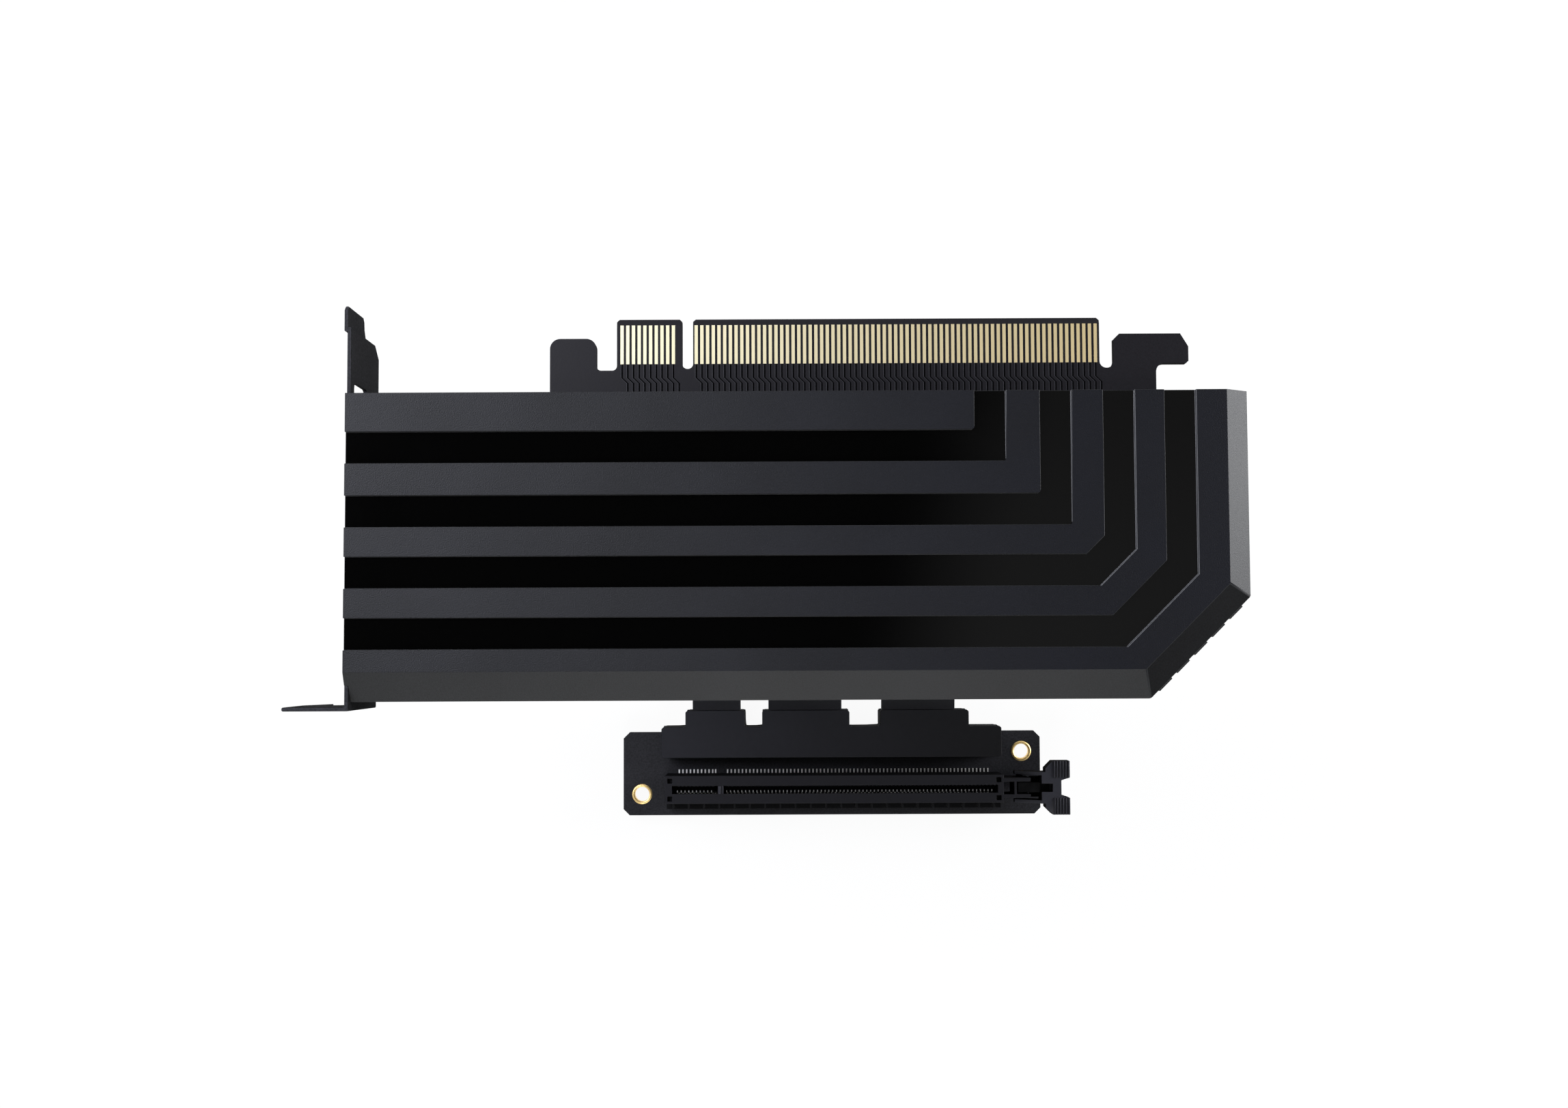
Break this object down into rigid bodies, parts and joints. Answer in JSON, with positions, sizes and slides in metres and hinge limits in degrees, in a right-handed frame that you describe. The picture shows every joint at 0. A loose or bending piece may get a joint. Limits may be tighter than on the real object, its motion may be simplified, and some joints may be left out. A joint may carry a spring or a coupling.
{
  "type": "pcie extension cable",
  "caption": "Riser cable with a covered edge card and slot bracket at one end, and a latching slot board on flat cables at the other.",
  "frame": {"origin": "middle of the key notch on the card's finger edge, at half the card's thickness", "axes": "+X along the finger edge away from the bracket, +Y the way the fingers point, +Z away from the slot board"},
  "size_m": [0.1678, 0.1042, 0.1542],
  "materials": {
    "card_black": "fine grained solder mask",
    "contact_gold": "gold plated",
    "cover_black": "fine grained, with gloss grooves",
    "bracket_paint": "powder coated",
    "cap_black": "satin",
    "housing_grey": "satin",
    "contact_tin": "tin plated",
    "latch_grey": "satin",
    "cable_black": "satin"
  },
  "bodies": {
    "riser": {"riser_card": "card_black", "edge_pads_upper": "contact_gold", "edge_pads_lower": "contact_gold", "upper_cover": "cover_black", "lower_cover": "cover_black", "bracket": "bracket_paint", "cable_comb": "housing_grey", "slot_board": "card_black", "hole_plating": "contact_gold", "cable_cap": "cap_black", "cable_cap_back": "cap_black", "slot_housing": "housing_grey", "slot_contacts_back": "contact_tin", "slot_contacts_front": "contact_tin", "ribbon_left": "cable_black", "ribbon_middle": "cable_black", "ribbon_right": "cable_black"},
    "latch": {"latch": "latch_grey"}
  },
  "joints": [
    {"name": "latch_hinge", "type": "hinge", "parent": "riser", "child": "latch", "pos_m": [0.0793, -0.09415, -0.1422], "axis": [0, 1, 0], "range_deg": [0, 20]}
  ]
}
